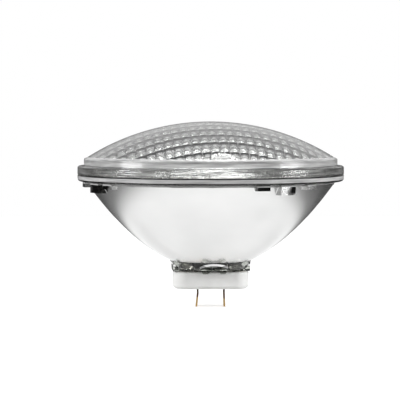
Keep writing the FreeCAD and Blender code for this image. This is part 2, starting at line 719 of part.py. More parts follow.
def make_prong(label, side):
    """A brass sheet bent to an L: a foot on the cup's floor and a blade down through it."""
    prong = body(label)
    name = "left" if side < 0 else "right"
    out = "" if side > 0 else "-"
    inner = "prong_offset - prong_thickness / 2"
    outer = "prong_offset + prong_thickness / 2"
    kink = f"{name}_kink_shift"
    tip = f"{name}_tip_shift"
    corners = [
        (f"{out}({outer})", "base_floor + prong_thickness"),
        (f"{out}prong_foot_end", "base_floor + prong_thickness"),
        (f"{out}prong_foot_end", "base_floor"),
        (f"{out}({outer})", "base_floor"),
        (f"{out}({outer} + {kink})", "-prong_kink"),
        (f"{out}({outer} + {tip})", "-prong_reach"),
        (f"{out}({inner} + {tip})", "-prong_reach"),
        (f"{out}({inner} + {kink})", "-prong_kink"),
        (f"{out}({inner})", "base_floor", ("arc", "prong_thickness", -side)),
    ]
    outline = sketch_on(prong, "XZ_Plane", label + "Outline")
    draw(outline, corners)
    sheet_metal = pad(prong, outline, "prong_width", middle=True)
    holes = sketch_on(prong, "XY_Plane", label + "Hole", "base_floor + prong_thickness")
    circle(holes, f"{out}rivet_offset", "0", "rivet_radius")
    drilled = pocket(prong, holes, "prong_thickness")
    tip_height = -number("prong_reach")

    def at_tip_corner(edge):
        across = edge.Vertexes[0].Point - edge.Vertexes[-1].Point
        low = all(abs(v.Z - tip_height) < 1e-6 for v in edge.Vertexes)
        return low and abs(across.y) < 1e-6 and abs(across.x) > 1e-6

    prong.Tip = dress(prong, "PartDesign::Fillet", label + "TipRound", drilled, at_tip_corner,
                      "Radius", "prong_tip_round")


def make_strap(label, side):
    """A strip from under the ferrule, round and back under the rivet's head."""
    strap = body(label)
    out = "" if side > 0 else "-"
    low = "(base_floor + prong_thickness)"
    high = "ferrule_bottom"
    near = f"{out}strap_inner"
    bend = f"{out}(strap_outer - strap_bend)"
    far = f"{out}strap_outer"
    far_in = f"{out}(strap_outer - strap_thickness)"
    outside = ("arc", "strap_bend", side)
    inside = ("arc", "strap_bend - strap_thickness", -side)
    outline = sketch_on(strap, "XZ_Plane", label + "Outline")
    draw(outline, [
        (near, low),
        (bend, low, outside),
        (far, f"{low} + strap_bend"),
        (far, f"{high} - strap_bend", outside),
        (bend, high),
        (near, high),
        (near, f"{high} - strap_thickness"),
        (bend, f"{high} - strap_thickness", inside),
        (far_in, f"{high} - strap_bend"),
        (far_in, f"{low} + strap_bend", inside),
        (bend, f"{low} + strap_thickness"),
        (near, f"{low} + strap_thickness"),
    ])
    pad(strap, outline, "strap_width", middle=True)
    hole = sketch_on(strap, "XY_Plane", label + "Hole", f"{low} + strap_thickness")
    circle(hole, f"{out}rivet_offset", "0", "rivet_radius")
    strap.Tip = pocket(strap, hole, "strap_thickness")


def make_rivets():
    """Two rivets through the straps, the prongs' feet and the ceramic floor."""
    low_head = "rivet_sink_depth - rivet_head_height"
    seat = "base_floor + prong_thickness + strap_thickness"
    stack = [
        ("rivet_head_radius", low_head, "rivet_head_height"),
        ("rivet_radius", low_head, f"{seat} + rivet_head_height - ({low_head})"),
        ("rivet_head_radius", seat, "rivet_head_height"),
    ]
    rivets = []
    for name, out in (("Left", "-"), ("Right", "")):
        rounds = []
        for i, (radius, foot, height) in enumerate(stack):
            piece = doc.addObject("Part::Cylinder", f"{name}Rivet{i + 1}")
            bind(piece, "Radius", radius)
            bind(piece, "Height", height)
            bind(piece, "Placement.Base.x", f"{out}rivet_offset")
            bind(piece, "Placement.Base.z", foot)
            rounds.append(piece)
        rivet = doc.addObject("Part::MultiFuse", f"{name}Rivet")
        rivet.Shapes = rounds
        rivets.append(rivet)
    group = doc.addObject("Part::Compound", "prong_rivets")
    group.Label = "prong_rivets"
    group.Links = rivets
    parts["prong_rivets"] = group


make_lens()
make_reflector()
make_exhaust_tube()
make_filament()
make_bridge()
for label, (place, height) in HOOKS.items():
    make_hook(label, place, height)
make_base()
for hand, side in (("left", -1), ("right", 1)):
    make_ferrule(f"{hand}_ferrule", side)
    make_post(f"{hand}_lead_post", side)
    make_clamp(f"{hand}_filament_clamp", side)
    make_cement(f"{hand}_cement_bead", side)
    make_prong(f"{hand}_prong", side)
    make_strap(f"{hand}_strap", side)
make_rivets()
doc.recompute()

for thing in doc.Objects:
    faults = {"Invalid", "Error"} & set(thing.State)
    if faults:
        raise RuntimeError(f"{thing.Name} failed: {thing.State}")
for label, part in parts.items():
    if part.Shape.isNull() or not part.Shape.isValid():
        raise RuntimeError(f"{label} has no valid shape")

os.makedirs("parts", exist_ok=True)
for label, part in parts.items():
    part.Shape.exportStep(f"parts/{part.Label}.step")
    print(f"{label}: {len(part.Shape.Solids)} solid, {part.Shape.Volume / 1000:.3f} cm3")
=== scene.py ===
import math

import bmesh
import bpy
from mathutils import Matrix, Vector


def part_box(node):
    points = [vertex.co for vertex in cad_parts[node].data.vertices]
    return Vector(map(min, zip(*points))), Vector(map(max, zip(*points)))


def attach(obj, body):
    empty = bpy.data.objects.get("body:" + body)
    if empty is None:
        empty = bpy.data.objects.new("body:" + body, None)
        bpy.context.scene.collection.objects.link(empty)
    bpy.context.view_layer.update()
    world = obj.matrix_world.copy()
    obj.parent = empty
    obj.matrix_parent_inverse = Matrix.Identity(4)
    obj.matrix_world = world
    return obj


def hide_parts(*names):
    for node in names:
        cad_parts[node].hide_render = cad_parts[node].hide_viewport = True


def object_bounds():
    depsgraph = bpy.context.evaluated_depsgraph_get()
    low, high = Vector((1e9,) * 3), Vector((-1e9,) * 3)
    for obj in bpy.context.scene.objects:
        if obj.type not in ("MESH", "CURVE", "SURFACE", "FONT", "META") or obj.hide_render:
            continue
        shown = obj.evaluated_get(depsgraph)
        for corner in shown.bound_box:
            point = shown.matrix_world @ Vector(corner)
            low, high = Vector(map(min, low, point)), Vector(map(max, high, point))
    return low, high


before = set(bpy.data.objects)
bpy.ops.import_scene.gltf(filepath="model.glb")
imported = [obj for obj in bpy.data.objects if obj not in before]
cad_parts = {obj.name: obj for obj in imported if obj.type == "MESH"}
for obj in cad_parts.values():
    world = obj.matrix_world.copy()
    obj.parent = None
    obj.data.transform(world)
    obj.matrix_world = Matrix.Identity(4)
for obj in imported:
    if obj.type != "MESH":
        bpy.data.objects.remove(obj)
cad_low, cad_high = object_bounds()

MM = 0.001

# Places that the CAD frame gives, in metres.
LENS_LOW, LENS_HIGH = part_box("lens")
RIM_RADIUS = LENS_HIGH.x
SEAM = LENS_LOW.z
DOME_TOP = LENS_HIGH.z
FOOT_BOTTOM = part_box("reflector")[0].z
PRONG_TIPS = cad_low.z

# Sizes of the glass, most of them as in the part's source. The lugs are (degrees from the front,
# whether it is a big one), and their widths are in degrees too.
RIM_TOP = 82.4 * MM
RIM_FOOT = 72.2 * MM
DOME_RADIUS = 154.5 * MM
DOME_EDGE = 83.4 * MM
SHOULDER_RADIUS = 84.6 * MM
SHOULDER_DROP = 0.9 * MM
SEAM_BEVEL = 0.45 * MM
EDGE_ROUND = 1.6 * MM
STEP_INNER_ROUND = 0.5 * MM
STEP_OUTER_ROUND = 1.3 * MM
DOME_END = DOME_EDGE - 0.9 * MM
LENS_WALL = 4.0 * MM
PILLOW_WIDTH = 5.8 * MM
PILLOW_LENGTH = 11.7 * MM
PILLOW_RISE = 0.9 * MM
ROW_RISE = 0.7 * MM
WINDOW_PLACE = (0.0, -77.0 * MM)
WINDOW_HALVES = (7.5 * MM, 4.5 * MM)
MIRROR_FOCAL = 27.5 * MM
MIRROR_VERTEX = 17.0 * MM
BOWL_FOCAL = 29.3 * MM
BOWL_VERTEX = 12.6 * MM
RIM_FOOT_ROUND = 2.0 * MM
NECK_RADIUS = 82.9 * MM
NECK_OUT = 0.6 * MM
NECK_DROP = 0.1 * MM
HEEL_ROOT_RADIUS = 28.0 * MM
HEEL_TIP_RADIUS = 24.7 * MM
HEEL_INNER = 20.0 * MM
HEEL_FOOT = 13.9 * MM
HEEL_SOFT = 0.3 * MM
HEEL_SOFT_HEIGHT = 0.5 * MM
HEEL_FLOOR_RADIUS = 10.0 * MM
LUG_RADIUS = 86.0 * MM
LUG_ROOT = 2.6 * MM
LUG_TOP = 73.4 * MM
SMALL_LUG_BOTTOM = 68.7 * MM
BIG_LUG_BOTTOM = 65.8 * MM
SMALL_LUG_ANGLE = 5.9
BIG_LUG_ANGLE = 7.7
LUGS = [(17.0, False), (29.0, True), (42.5, False),
        (-55.0, False), (-66.0, True), (-81.0, False)]
FOOT_BACK = 21.6 * MM
FOOT_FACE = 25.9 * MM
FOOT_RADIUS = 9.1 * MM
FOOT_CENTRE = 17.3 * MM
FOOT_TOP = 19.5 * MM
NOTCH_WIDTH = 8.6 * MM
NOTCH_RISE = 2.2 * MM
SOLID_ROUND = 0.6 * MM
SHARP_ANGLE = math.radians(35)
GLASS_TURN = math.radians(5.0)

# How finely the glass is drawn, and the small gaps between points that must stay or fall together.
TURN_STEPS = 256
DOME_RINGS = 44
BOWL_RINGS = 48
PILLOW_PARTS = 8
ROW_PARTS = 9
ROW_GAP = 0.03 * MM
MERGE_GAP = 0.02 * MM
SEAM_GAP = 0.04 * MM

# Where the glass changes its look: heights, distances from the Z axis, and the painted highlight
# arcs over the feet. The lines at the rim's foot and at the seam are painted shade. A point is on
# the mirror or on the bowl's back within the slack.
SEAM_SHADE_BAND = 0.7 * MM
RIM_GLASS_TOP = RIM_TOP + 0.5 * MM
STEP_ABOVE = 0.9 * MM
LUG_GLASS_LOW = 60.0 * MM
RIM_GLASS_LOW = RIM_FOOT - 1.2 * MM
# A line of painted shadow under the rim's foot.
SHADOW_LINE_LOW = RIM_FOOT - 0.3 * MM
SHADOW_LINE_HIGH = RIM_FOOT + 1.3 * MM
PARABOLOID_SLACK = 0.6 * MM
SILVER_INNER = HEEL_ROOT_RADIUS + 0.15 * MM
SILVER_OUTER = NECK_RADIUS - 0.3 * MM
# Where the painted highlight arcs over the feet lie.
CREST_INNER = HEEL_TIP_RADIUS - 0.1 * MM
CREST_HEIGHT = 17.9 * MM
CREST_HALF = 0.75 * MM
CREST_RADIUS = 22.0 * MM
GLASS_IOR = 1.48
GLASS_TINT = (0.985, 0.99, 0.985)
STREAK_LENGTH = 22.0
CERAMIC_SOFTNESS = 1.4 * MM

# The studio's greys from front to back, from below to above and from the middle to the sides,
# how steep a look through the glass may be to meet the white backdrop, and how far back it must
# point.
LEVEL_GREYS = [(0.0, 0.5), (0.35, 0.42), (0.55, 0.1), (1.0, 0.04)]
HIGH_GREYS = [(0.54, 0.15), (0.63, 0.9), (0.8, 1.0), (0.92, 0.75), (1.0, 0.65)]
SIDE_GREYS = [(0.3, 1.0), (0.75, 0.35)]
LEVEL_BAND = 0.3
BACKDROP_START = 0.75

# The floor's own light in what mirrors it and to the camera, its greys by the distance from its
# middle, and how that distance is squeezed from side to side.
FLOOR_GLOW = 0.22
FLOOR_WHITE = 0.55
FLOOR_GREYS = [(0.1, 0.86), (0.15, 0.7), (0.19, 0.13), (0.28, 0.02)]
FLOOR_MIDDLE = (0.0, 0.02, 0.0)
FLOOR_SQUEEZE = (1.35, 1.0, 1.0)
FLOOR_HALF = 0.9
FLOOR_DROP = 0.2 * MM

# What the soft boxes point at, and how far out the two at the sides stand.
BOX_AIM = Vector((0, 0, 0.06))
SIDE_BOXES_OUT = 0.93

# The camera's place and aim, and half of what its picture shows from side to side at the lamp.
CAMERA_AIM = Vector((-7.1 * MM, 0, 59.1 * MM))
CAMERA_DISTANCE = 0.94
CAMERA_HEIGHT = 0.1096
PICTURE_HALF = 0.134

MIRROR_EDGE = math.sqrt(4 * MIRROR_FOCAL * (SEAM - MIRROR_VERTEX))
STEP_INNER = MIRROR_EDGE - 0.2 * MM
SPHERE_CENTRE = DOME_TOP - DOME_RADIUS


def node_tree(name):
    """A new material with its nodes and links, the socket for its surface, and the place on the
    object."""
    material = bpy.data.materials.new(name)
    material.use_nodes = True
    nodes = material.node_tree.nodes
    nodes.clear()
    output = nodes.new("ShaderNodeOutputMaterial")
    place = nodes.new("ShaderNodeTexCoord").outputs["Object"]
    return material, nodes, material.node_tree.links, output.inputs["Surface"], place


def principled(nodes, **sockets):
    """The general shader; an underscore in a socket's name stands for a space."""
    shader = nodes.new("ShaderNodeBsdfPrincipled")
    for name, value in sockets.items():
        shader.inputs[name.replace("_", " ")].default_value = value
    return shader


def noise(nodes, links, place, scale, detail=3.0, roughness=0.5):
    """Clouds, spots or grain, by the scale."""
    texture = nodes.new("ShaderNodeTexNoise")
    texture.inputs["Scale"].default_value = scale
    texture.inputs["Detail"].default_value = detail
    texture.inputs["Roughness"].default_value = roughness
    links.new(place, texture.inputs["Vector"])
    return texture.outputs["Fac"]


def ramp(nodes, links, value, stops):
    """A colour ramp; stops are (position, colour) with the colour as grey or as red, green, blue."""
    made = nodes.new("ShaderNodeValToRGB")
    elements = made.color_ramp.elements
    while len(elements) < len(stops):
        elements.new(0.5)
    for element, (position, colour) in zip(elements, stops):
        element.position = position
        rgb = colour if isinstance(colour, tuple) else (colour,) * 3
        element.color = (*rgb, 1.0)
    links.new(value, made.inputs["Fac"])
    return made.outputs["Color"]


def bump(nodes, links, height, strength, distance):
    """A normal that tilts with the height."""
    made = nodes.new("ShaderNodeBump")
    made.inputs["Strength"].default_value = strength
    made.inputs["Distance"].default_value = distance
    links.new(height, made.inputs["Height"])
    return made.outputs["Normal"]


def feed(links, socket, value):
    """Sets a socket to a number, or links another node's output to it."""
    if isinstance(value, (int, float)):
        socket.default_value = value
    else:
        links.new(value, socket)


def math_node(nodes, links, operation, *values):
    """One step of arithmetic on numbers and on other nodes' outputs."""
    made = nodes.new("ShaderNodeMath")
    made.operation = operation
    for socket, value in zip(made.inputs, values):
        feed(links, socket, value)
    return made.outputs["Value"]


def mix_shaders(nodes, links, factor, first, second):
    """The first shader where the factor is 0, and the second where it is 1."""
    made = nodes.new("ShaderNodeMixShader")
    for socket, value in zip(made.inputs, (factor, first, second)):
        feed(links, socket, value)
    return made.outputs["Shader"]


def split(nodes, links, vector):
    """The X, Y and Z of a vector."""
    made = nodes.new("ShaderNodeSeparateXYZ")
    links.new(vector, made.inputs["Vector"])
    return made.outputs["X"], made.outputs["Y"], made.outputs["Z"]


def squared_reach(nodes, links, x, y):
    """The square of the distance from the Z axis."""
    return math_node(nodes, links, "ADD",
                     math_node(nodes, links, "POWER", x, 2.0),
                     math_node(nodes, links, "POWER", y, 2.0))


def glass_shader(nodes, links, place, tint, roughness, wave):
    """Pressed glass with slow waves from the mould."""
    shader = principled(nodes, Base_Color=(*tint, 1.0), Roughness=roughness, IOR=GLASS_IOR,
                        Transmission_Weight=1.0)
    height = noise(nodes, links, place, 90.0)
    links.new(bump(nodes, links, height, wave, 0.4 * MM), shader.inputs["Normal"])
    return shader.outputs["BSDF"]


def rim_glass(nodes, links, place, milk, tint, depth):
    """Glass of the fused rim: streaked along its length by the flame, and a little milky. The
    depth is how bright the dark streaks are beside the tint."""
    stretch = nodes.new("ShaderNodeMapping")
    stretch.inputs["Scale"].default_value = (1.0, 1.0, STREAK_LENGTH)
    links.new(place, stretch.inputs["Vector"])
    streaks = noise(nodes, links, stretch.outputs["Vector"], 45.0, 4.0, 0.6)
    clear = principled(nodes, IOR=GLASS_IOR, Transmission_Weight=1.0)
    darker = tuple(depth * part for part in tint)
    links.new(ramp(nodes, links, streaks, [(0.38, darker), (0.6, tint)]),
              clear.inputs["Base Color"])
    links.new(ramp(nodes, links, streaks, [(0.35, 0.02), (0.65, 0.14)]), clear.inputs["Roughness"])
    links.new(bump(nodes, links, streaks, 0.3, 0.5 * MM), clear.inputs["Normal"])
    body = principled(nodes, Roughness=0.2, IOR=GLASS_IOR)
    links.new(ramp(nodes, links, streaks, [(0.35, 0.5), (0.65, 0.92)]), body.inputs["Base Color"])
    return mix_shaders(nodes, links, milk, clear.outputs["BSDF"], body.outputs["BSDF"])


def clear_glass_material():
    """Clear glass of the exhaust tube and the bridge bead."""
    material, nodes, links, surface, place = node_tree("clear_glass")
    links.new(glass_shader(nodes, links, place, GLASS_TINT, 0.0, 0.06), surface)
    return material


def lens_material():
    """Clear pressed glass over the pillows, milky streaked glass on the step outside them, clearer
    streaked glass on the rim, and a line of painted shade at the seam."""
    material, nodes, links, surface, place = node_tree("lens_glass")
    x, y, z = split(nodes, links, place)
    middle = glass_shader(nodes, links, place, GLASS_TINT, 0.0, 0.12)
    rim = rim_glass(nodes, links, place, 0.03, (0.87, 0.875, 0.86), 0.22)
    step = rim_glass(nodes, links, place, 0.55, (0.95, 0.955, 0.945), 0.75)
    # Dark glass at the seam is painted shade in the seam's groove.
    shade_glass = glass_shader(nodes, links, place, (0.55, 0.55, 0.53), 0.1, 0.1)
    step_top = dome_height(DOME_EDGE) + STEP_ABOVE
    on_step = math_node(nodes, links, "MULTIPLY",
                        math_node(nodes, links, "LESS_THAN", z, step_top),
                        math_node(nodes, links, "GREATER_THAN", squared_reach(nodes, links, x, y),
                                  STEP_INNER**2))
    on_rim = math_node(nodes, links, "LESS_THAN", z, RIM_GLASS_TOP)
    at_seam = math_node(nodes, links, "LESS_THAN", z, SEAM + SEAM_SHADE_BAND)
    glass = mix_shaders(nodes, links, on_step, middle, step)
    glass = mix_shaders(nodes, links, on_rim, glass, rim)
    glass = mix_shaders(nodes, links, at_seam, glass, shade_glass)
    links.new(glass, surface)
    return material


def foot_highlight_arc(nodes, links, place, square):
    """1 on the painted highlight where each foot leaves the heel: a flat arc over the foot."""
    turned = nodes.new("ShaderNodeMapping")
    turned.vector_type = "TEXTURE"
    turned.inputs["Rotation"].default_value = (0, 0, GLASS_TURN)
    links.new(place, turned.inputs["Vector"])
    x, y, z = split(nodes, links, turned.outputs["Vector"])
    across = math_node(nodes, links, "MINIMUM",
                       math_node(nodes, links, "ABSOLUTE", x),
                       math_node(nodes, links, "ABSOLUTE", y))
    sag = math_node(nodes, links, "DIVIDE", math_node(nodes, links, "POWER", across, 2.0),
                    2 * CREST_RADIUS)
    level = math_node(nodes, links, "ADD", z, sag)
    off = math_node(nodes, links, "ABSOLUTE",
                    math_node(nodes, links, "SUBTRACT", level, CREST_HEIGHT))
    inside = math_node(nodes, links, "LESS_THAN", off, CREST_HALF)
    near = math_node(nodes, links, "LESS_THAN", across, FOOT_RADIUS)
    outer = math_node(nodes, links, "GREATER_THAN", square, CREST_INNER**2)
    both = math_node(nodes, links, "MULTIPLY", inside, near)
    return math_node(nodes, links, "MULTIPLY", both, outer)


def reflector_material():
    """Clear glass with a bright film on the mirror and satin silver on the bowl's back. The lugs,
    the rim and the lines at the rim's foot and at the seam have looks of their own by height: the
    lugs carry painted shade and a painted silver sheen, the lines are painted shade, and the tops of
    the feet carry painted highlight arcs in satin silver."""
    material, nodes, links, surface, place = node_tree("mirror_glass")
    x, y, z = split(nodes, links, place)
    square = squared_reach(nodes, links, x, y)

    def near_paraboloid(vertex, focal):
        """1 within the slack of the paraboloid."""
        rise = math_node(nodes, links, "DIVIDE", square, 4 * focal)
        height = math_node(nodes, links, "SUBTRACT", z, vertex)
        gap = math_node(nodes, links, "SUBTRACT", height, rise)
        return math_node(nodes, links, "LESS_THAN",
                         math_node(nodes, links, "ABSOLUTE", gap), PARABOLOID_SLACK)

    on_mirror = near_paraboloid(MIRROR_VERTEX, MIRROR_FOCAL)
    outside = near_paraboloid(BOWL_VERTEX, BOWL_FOCAL)
    past_heel = math_node(nodes, links, "GREATER_THAN", square, SILVER_INNER**2)
    below_neck = math_node(nodes, links, "LESS_THAN", square, SILVER_OUTER**2)
    silvered = math_node(nodes, links, "MULTIPLY", past_heel, below_neck)
    on_back = math_node(nodes, links, "MULTIPLY", outside, silvered)

    film = principled(nodes, Base_Color=(0.9, 0.905, 0.9, 1.0), Metallic=1.0, Roughness=0.06)
    satin = principled(nodes, Metallic=1.0, Coat_Weight=0.35, Coat_Roughness=0.25,
                       Coat_IOR=GLASS_IOR)
    cloud = noise(nodes, links, place, 28.0, 4.0, 0.55)
    grain = noise(nodes, links, place, 900.0, 2.0, 0.5)
    links.new(ramp(nodes, links, cloud, [(0.3, (0.84, 0.845, 0.84)), (0.7, (0.93, 0.93, 0.925))]),
              satin.inputs["Base Color"])
    links.new(ramp(nodes, links, cloud, [(0.3, 0.21), (0.7, 0.27)]), satin.inputs["Roughness"])
    links.new(bump(nodes, links, grain, 0.08, 0.1 * MM), satin.inputs["Normal"])
    silver = satin.outputs["BSDF"]
    heel = glass_shader(nodes, links, place, (0.62, 0.64, 0.6), 0.0, 0.08)
    rim = rim_glass(nodes, links, place, 0.8, (0.9, 0.905, 0.89), 0.8)
    # Dark glass is painted shade: on the lugs' left sides, in the line under the rim's foot, and at
    # the seam.
    shade_glass = glass_shader(nodes, links, place, (0.05, 0.05, 0.045), 0.1, 0.1)
    # The lugs carry painted light: painted shade towards the left, a painted silver sheen towards
    # the right, in clouded patches.
    spots = noise(nodes, links, place, 75.0, 1.0)
    lug_light_side = ramp(nodes, links, math_node(nodes, links, "ADD", x, spots),
                   [(0.44, 0.0), (0.52, 0.8)])
    lugs = mix_shaders(nodes, links, lug_light_side, shade_glass, silver)

    glass = heel
    for low, shader in ((LUG_GLASS_LOW, lugs), (RIM_GLASS_LOW, rim), (SHADOW_LINE_LOW, shade_glass),
                        (SHADOW_LINE_HIGH, rim), (SEAM - SEAM_SHADE_BAND, shade_glass)):
        above = math_node(nodes, links, "GREATER_THAN", z, low)
        glass = mix_shaders(nodes, links, above, glass, shader)
    # Satin silver on the top of each foot is a painted highlight.
    highlight_arc = foot_highlight_arc(nodes, links, place, square)
    glass = mix_shaders(nodes, links, highlight_arc, glass, silver)
    glass = mix_shaders(nodes, links, on_back, glass, silver)
    glass = mix_shaders(nodes, links, on_mirror, glass, film.outputs["BSDF"])
    links.new(glass, surface)
    return material


def ceramic_material():
    """White unglazed ceramic: faint clouds, a fine grain with pores, and softened edges."""
    material, nodes, links, surface, place = node_tree("ceramic")
    shader = principled(nodes, Specular_IOR_Level=0.35)
    cloud = noise(nodes, links, place, 120.0, 4.0)
    grain = noise(nodes, links, place, 2600.0, 2.0)
    links.new(ramp(nodes, links, cloud, [(0.3, (0.78, 0.78, 0.765)), (0.7, (0.86, 0.86, 0.85))]),
              shader.inputs["Base Color"])
    links.new(ramp(nodes, links, grain, [(0.3, 0.5), (0.7, 0.68)]), shader.inputs["Roughness"])
    soft = nodes.new("ShaderNodeBevel")
    soft.samples = 8
    soft.inputs["Radius"].default_value = CERAMIC_SOFTNESS
    pores = bump(nodes, links, grain, 0.2, 0.08 * MM)
    links.new(soft.outputs["Normal"], pores.node.inputs["Normal"])
    links.new(pores, shader.inputs["Normal"])
    links.new(shader.outputs["BSDF"], surface)
    return material


def metal_material(name, dark, light, roughness):
    """Drawn or rolled metal with clouded tarnish and fine scratches."""
    material, nodes, links, surface, place = node_tree(name)
    shader = principled(nodes, Metallic=1.0)
    cloud = noise(nodes, links, place, 400.0, 5.0, 0.6)
    links.new(ramp(nodes, links, cloud, [(0.35, dark), (0.65, light)]), shader.inputs["Base Color"])
    links.new(ramp(nodes, links, cloud, [(0.3, roughness), (0.7, roughness + 0.2)]),
              shader.inputs["Roughness"])
    grain = noise(nodes, links, place, 3200.0, 2.0)
    links.new(bump(nodes, links, grain, 0.2, 0.05 * MM), shader.inputs["Normal"])
    links.new(shader.outputs["BSDF"], surface)
    return material


def filament_material():
    """Dark tungsten wire wound in a fine coil; the windings are bands across the legs, drawn as
    bumps and as painted shade between the turns.
    """
    material, nodes, links, surface, place = node_tree("filament")
    shader = principled(nodes, Metallic=1.0, Roughness=0.4)
    bands = nodes.new("ShaderNodeTexWave")
    bands.bands_direction = "Z"
    bands.inputs["Scale"].default_value = 700.0
    bands.inputs["Distortion"].default_value = 0.4
    links.new(place, bands.inputs["Vector"])
    # The dark bands are painted shade between the turns.
    links.new(ramp(nodes, links, bands.outputs["Fac"], [(0.2, 0.03), (0.8, 0.3)]),
              shader.inputs["Base Color"])
    links.new(bump(nodes, links, bands.outputs["Fac"], 0.9, 0.2 * MM), shader.inputs["Normal"])
    links.new(shader.outputs["BSDF"], surface)
    return material


def brass_material():
    """Brass blades, darker towards the ceramic and with a painted highlight towards the tips."""
    material, nodes, links, surface, place = node_tree("brass")
    z = split(nodes, links, place)[2]
    cloud = noise(nodes, links, place, 260.0, 5.0, 0.65)
    # Darker towards the ceramic, running to a painted highlight at the tips.
    depth = math_node(nodes, links, "DIVIDE", z, PRONG_TIPS)
    dark_to_highlight = math_node(nodes, links, "ADD", depth, math_node(nodes, links, "MULTIPLY", cloud, 0.9))
    shader = principled(nodes, Metallic=1.0)
    links.new(ramp(nodes, links, dark_to_highlight, [(0.5, (0.05, 0.03, 0.02)), (0.95, (0.15, 0.08, 0.045)),
                                         (1.0, (0.5, 0.34, 0.15))]), shader.inputs["Base Color"])
    links.new(ramp(nodes, links, cloud, [(0.3, 0.3), (0.7, 0.52)]), shader.inputs["Roughness"])
    grain = noise(nodes, links, place, 3000.0, 2.0)
    links.new(bump(nodes, links, grain, 0.2, 0.05 * MM), shader.inputs["Normal"])
    links.new(shader.outputs["BSDF"], surface)
    return material


def cement_material():
    """Coarse grey cement."""
    material, nodes, links, surface, place = node_tree("cement")
    shader = principled(nodes, Roughness=0.85)
    cloud = noise(nodes, links, place, 900.0, 6.0, 0.65)
    links.new(ramp(nodes, links, cloud, [(0.3, (0.42, 0.4, 0.36)), (0.7, (0.66, 0.64, 0.59))]),
              shader.inputs["Base Color"])
    links.new(bump(nodes, links, cloud, 0.6, 0.2 * MM), shader.inputs["Normal"])
    links.new(shader.outputs["BSDF"], surface)
    return material


def piece(name, mesh, material, replaced, smooth):
    """A mesh as a piece of the object in place of CAD nodes, smooth but for edges sharper than so
    many degrees."""
    mesh.materials.append(material)
    mesh.shade_smooth()
    mesh.set_sharp_from_angle(angle=math.radians(smooth))
    made = bpy.data.objects.new(name, mesh)
    bpy.context.scene.collection.objects.link(made)
    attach(made, "root")
    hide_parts(*replaced)


def lathe(bm, profile, steps):
    """Turns an outline of (radius, height) about the Z axis and gives its rings of points. A point
    on the axis is one vertex."""
    rings = []
    for radius, height in profile:
        if radius == 0:
            rings.append([bm.verts.new((0, 0, height))] * steps)
            continue
        ring = []
        for i in range(steps):
            angle = 2 * math.pi * i / steps
            ring.append(bm.verts.new((radius * math.cos(angle), radius * math.sin(angle), height)))
        rings.append(ring)
    for low, high in zip(rings, rings[1:]):
        for i in range(steps):
            j = (i + 1) % steps
            corners = dict.fromkeys((low[i], low[j], high[j], high[i]))
            if len(corners) > 2:
                bm.faces.new(list(corners))
    return rings


def arc(centre, radius, start, stop, steps):
    """Points of an arc in the plane of radius and height; angles in degrees."""
    points = []
    for i in range(steps + 1):
        angle = math.radians(start + (stop - start) * i / steps)
        points.append((centre[0] + radius * math.cos(angle), centre[1] + radius * math.sin(angle)))
    return points


def dome_height(radius, shell=0.0):
    """Height of the dome's outside, or of a like dome so far under it."""
    return SPHERE_CENTRE + math.sqrt((DOME_RADIUS - shell)**2 - radius**2)


def lens_outline():
    """The outside of the lens, from the seam up over the rim and the step to the middle."""
    shoulder_height = dome_height(DOME_EDGE) - SHOULDER_DROP
    points = [(RIM_RADIUS - SEAM_BEVEL, SEAM), (RIM_RADIUS, SEAM + SEAM_BEVEL)]
    points += arc((RIM_RADIUS - EDGE_ROUND, RIM_TOP - EDGE_ROUND), EDGE_ROUND, 0, 90, 8)
    points += arc((SHOULDER_RADIUS + STEP_INNER_ROUND, RIM_TOP + STEP_INNER_ROUND),
                  STEP_INNER_ROUND, 270, 180, 4)
    points += arc((SHOULDER_RADIUS - STEP_OUTER_ROUND, shoulder_height),
                  STEP_OUTER_ROUND, 0, 50, 6)
    for i in range(DOME_RINGS + 1):
        radius = DOME_END * (1 - i / DOME_RINGS)
        points.append((radius, dome_height(radius)))
    return points


def pillow_height(x, y):
    """Height of the lens's inner side: rows of pillows, each a scoop up into the glass, and none
    in the smooth window."""
    window_x = (x - WINDOW_PLACE[0]) / WINDOW_HALVES[0]
    window_y = (y - WINDOW_PLACE[1]) / WINDOW_HALVES[1]
    roof = dome_height(math.hypot(x, y), LENS_WALL)
    if window_x**2 + window_y**2 < 1:
        return roof
    across = 2 * (x / PILLOW_WIDTH - math.floor(x / PILLOW_WIDTH)) - 1
    along = 2 * (y / PILLOW_LENGTH - math.floor(y / PILLOW_LENGTH)) - 1
    return roof + PILLOW_RISE * (1 - across**2) + ROW_RISE * (1 - along**2)


def grid_lines(pitch, parts, reach, gap):
    """Lines across the lens, parts to a pitch; gap sets the two lines at a step apart."""
    count = math.ceil(reach / pitch)
    lines = []
    for cell in range(-count, count):
        for i in range(parts + (1 if gap else 0)):
            place = (cell + i / parts) * pitch
            if gap and i == 0:
                place += gap
            if gap and i == parts:
                place -= gap
            lines.append(place)
    if not gap:
        lines.append(count * pitch)
    return lines


